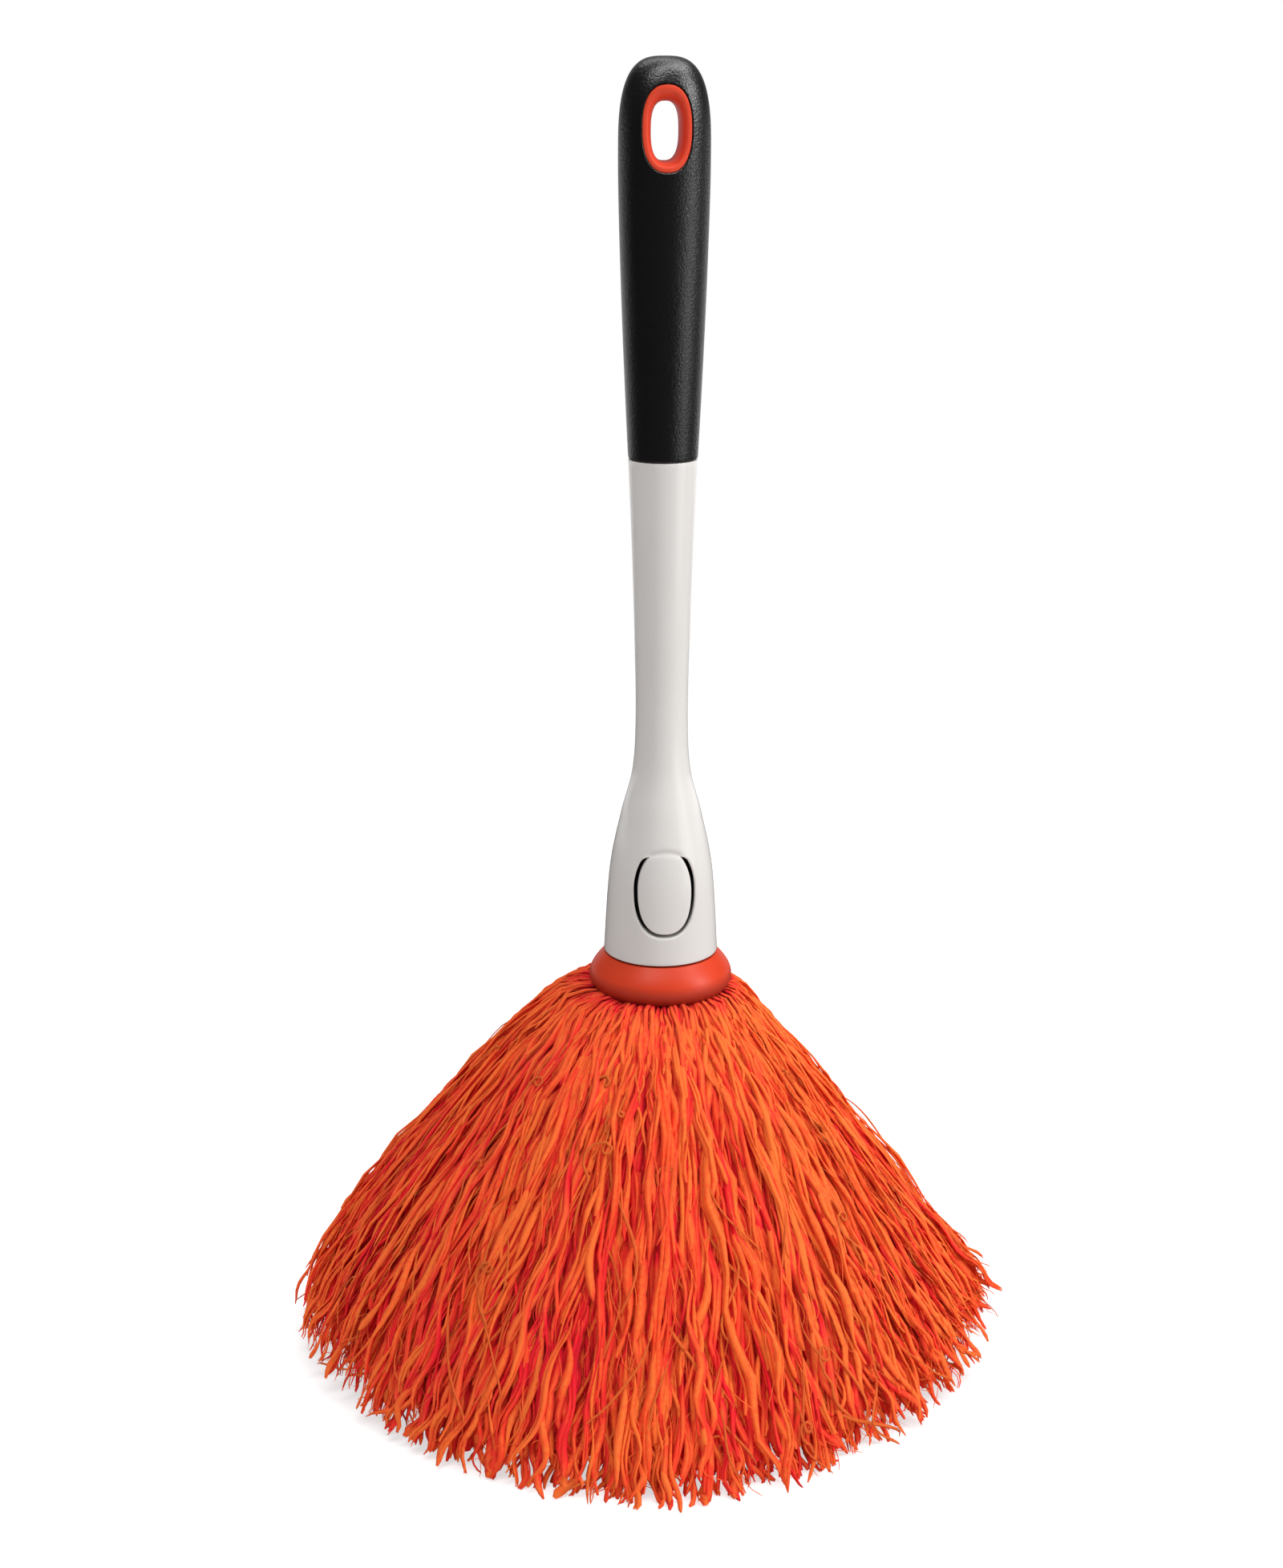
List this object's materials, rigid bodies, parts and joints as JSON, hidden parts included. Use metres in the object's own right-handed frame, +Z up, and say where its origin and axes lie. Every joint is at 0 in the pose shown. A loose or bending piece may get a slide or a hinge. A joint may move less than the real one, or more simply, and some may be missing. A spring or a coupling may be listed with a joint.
{
  "type": "microfiber duster",
  "caption": "Handheld duster: a skirt of soft strands under a round collar, on a slim neck with a push-button release and a soft grip with a hang hole.",
  "frame": {"origin": "centre of the surface that the skirt of strands stands on", "axes": "+Z up along the handle, -Y towards the front with the release button, +X to the right seen from the front"},
  "size_m": [0.1954, 0.1954, 0.3473],
  "materials": {
    "grip": "satin",
    "core": "satin",
    "liner": "satin",
    "neck": "gloss",
    "plug": "satin",
    "collar": "satin",
    "strands": "matte",
    "clamp": "satin",
    "screw": "satin"
  },
  "bodies": {
    "head": {"head_plug": "plug", "collar_ring": "collar", "strand_ring_outer": "strands", "strand_ring_middle": "strands", "strand_ring_inner": "strands", "strand_ring_core": "strands", "clamp_washer": "clamp", "clamp_screw": "screw"},
    "handle": {"neck_housing": "neck", "grip_core": "core", "grip_sleeve": "grip", "hang_hole_liner": "liner"},
    "button": {"release_button": "neck"},
    "latch": {"latch_arm": "plug"}
  },
  "joints": [
    {"name": "handle_lift", "type": "slide", "parent": "head", "child": "handle", "axis": [0, 0, 1], "range_m": [0, 0.04], "deforming": ["latch_arm"]},
    {"name": "button_press", "type": "hinge", "parent": "handle", "child": "button", "pos_m": [0, -0.0122, 0.14014], "axis": [1, 0, 0], "range_deg": [0, 5], "stiffness_Nm_per_rad": 0.008},
    {"name": "latch_flex", "type": "hinge", "parent": "head", "child": "latch", "pos_m": [0, -0.00842, 0.1373], "axis": [1, 0, 0], "range_deg": [0, 6]}
  ],
  "couplings": [
    {"joint": "latch_flex", "follows": "button_press", "ratio": 1.163}
  ]
}
